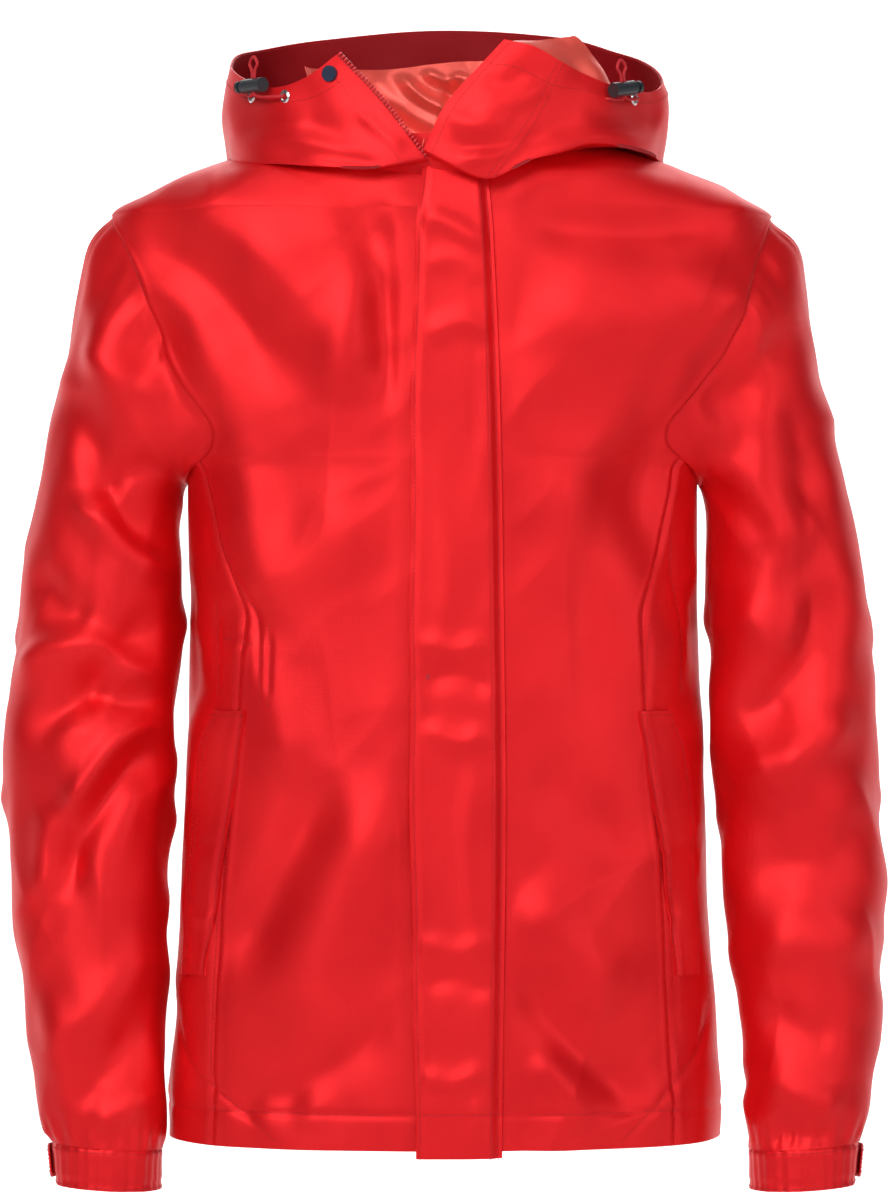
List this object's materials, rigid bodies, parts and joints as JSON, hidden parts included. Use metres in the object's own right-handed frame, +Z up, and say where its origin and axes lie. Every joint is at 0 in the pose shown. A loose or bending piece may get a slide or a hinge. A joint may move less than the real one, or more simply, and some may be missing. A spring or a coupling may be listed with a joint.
{
  "type": "hardshell jacket",
  "caption": "Hooded hardshell jacket standing as if worn, with a storm flap over a moulded zip, hand pockets, cuff tabs and a folded hood with cord locks.",
  "frame": {"origin": "hanger loop inside the nape, at the height of the back neck seam", "axes": "+Z up the back, +X towards the wearer's left, the wearer faces -Y"},
  "size_m": [0.6352, 0.2834, 0.853],
  "materials": {
    "shell_fabric": "satin nylon shell cloth",
    "lining_fabric": "light satin lining",
    "zip_tape": "matt woven tape",
    "zip_plastic": "moulded plastic, satin",
    "label_fabric": "blank woven label",
    "drawcord": "braided cord",
    "cord_lock_plastic": "satin black",
    "spring_steel": "bright wire",
    "stud_enamel": "dark blue enamel, glossy",
    "eyelet_metal": "bright nickel"
  },
  "bodies": {
    "root": {"back_panel": "shell_fabric", "front_panel_right": "shell_fabric", "front_panel_left": "shell_fabric", "side_panel_right": "shell_fabric", "side_panel_left": "shell_fabric", "sleeve_right": "shell_fabric", "sleeve_left": "shell_fabric", "cuff_band_right": "shell_fabric", "cuff_band_left": "shell_fabric", "hem_band": "shell_fabric", "pocket_welt_right": "shell_fabric", "pocket_welt_left": "shell_fabric", "hood_side_right": "shell_fabric", "hood_side_left": "shell_fabric", "hood_centre": "shell_fabric", "hood_rim_casing": "shell_fabric", "back_lining": "lining_fabric", "front_lining_right": "lining_fabric", "front_lining_left": "lining_fabric", "hood_lining": "lining_fabric", "neck_band": "lining_fabric", "pocket_bag_right": "lining_fabric", "pocket_bag_left": "lining_fabric", "zip_tape_right": "zip_tape", "zip_tape_left": "zip_tape", "hanger_loop": "zip_tape", "cuff_loop_patch_right": "zip_tape", "cuff_loop_patch_left": "zip_tape", "flap_loop_patch_1": "zip_tape", "flap_loop_patch_2": "zip_tape", "flap_loop_patch_3": "zip_tape", "zip_teeth_right": "zip_plastic", "zip_teeth_left": "zip_plastic", "zip_box": "zip_plastic", "zip_pin": "zip_plastic", "neck_label": "label_fabric", "hood_drawcord_right": "drawcord", "hood_drawcord_left": "drawcord", "stud_cap": "stud_enamel", "hood_eyelet_right_1": "eyelet_metal", "hood_eyelet_right_2": "eyelet_metal", "hood_eyelet_left_1": "eyelet_metal", "hood_eyelet_left_2": "eyelet_metal"},
    "storm_flap": {"storm_flap": "shell_fabric", "flap_hook_patch_1": "zip_tape", "flap_hook_patch_2": "zip_tape", "flap_hook_patch_3": "zip_tape", "stud_socket": "stud_enamel"},
    "zip_slider": {"zip_slider": "zip_plastic"},
    "zip_pull": {"zip_pull": "zip_plastic"},
    "cuff_tab_right": {"cuff_tab_right": "shell_fabric", "cuff_hook_patch_right": "zip_tape"},
    "cord_lock_right": {"cord_lock_body_right": "cord_lock_plastic", "cord_lock_spring_right": "spring_steel"},
    "lock_plunger_right": {"cord_lock_plunger_right": "cord_lock_plastic"},
    "cuff_tab_left": {"cuff_tab_left": "shell_fabric", "cuff_hook_patch_left": "zip_tape"},
    "cord_lock_left": {"cord_lock_body_left": "cord_lock_plastic", "cord_lock_spring_left": "spring_steel"},
    "lock_plunger_left": {"cord_lock_plunger_left": "cord_lock_plastic"}
  },
  "joints": [
    {"name": "zip_slider_travel", "type": "slide", "parent": "root", "child": "zip_slider", "axis": [0, -0.0158, -0.9999], "range_m": [0, 0.6]},
    {"name": "zip_pull_swing", "type": "hinge", "parent": "zip_slider", "child": "zip_pull", "pos_m": [0, -0.1716, -0.08], "axis": [0, -0.9999, 0.0158], "range_deg": [-60, 60]},
    {"name": "storm_flap_hinge", "type": "hinge", "parent": "root", "child": "storm_flap", "pos_m": [0.0415, -0.1716, -0.08], "axis": [0, 0.0158, 0.9999], "range_deg": [0, 120]},
    {"name": "cuff_tab_right_hinge", "type": "hinge", "parent": "root", "child": "cuff_tab_right", "pos_m": [-0.22756, -0.04872, -0.73227], "axis": [0.0306, -0.0965, -0.9949], "range_deg": [0, 90]},
    {"name": "cuff_tab_left_hinge", "type": "hinge", "parent": "root", "child": "cuff_tab_left", "pos_m": [0.24556, -0.04872, -0.73227], "axis": [0.0306, 0.0965, 0.9949], "range_deg": [0, 90]},
    {"name": "cord_lock_right_slide", "type": "slide", "parent": "root", "child": "cord_lock_right", "axis": [0.0074, -0.0094, 0.9999], "range_m": [0, 0.004]},
    {"name": "lock_plunger_right_press", "type": "slide", "parent": "cord_lock_right", "child": "lock_plunger_right", "axis": [0.6156, -0.788, -0.012], "range_m": [0, 0.0035], "stiffness_N_per_m": 200, "springref_m": -0.002, "deforming": ["cord_lock_spring_right"]},
    {"name": "cord_lock_left_slide", "type": "slide", "parent": "root", "child": "cord_lock_left", "axis": [-0.1047, -0.1162, 0.9877], "range_m": [0, 0.004]},
    {"name": "lock_plunger_left_press", "type": "slide", "parent": "cord_lock_left", "child": "lock_plunger_left", "axis": [-0.6609, -0.734, -0.1564], "range_m": [0, 0.0035], "stiffness_N_per_m": 200, "springref_m": -0.002, "deforming": ["cord_lock_spring_left"]}
  ]
}
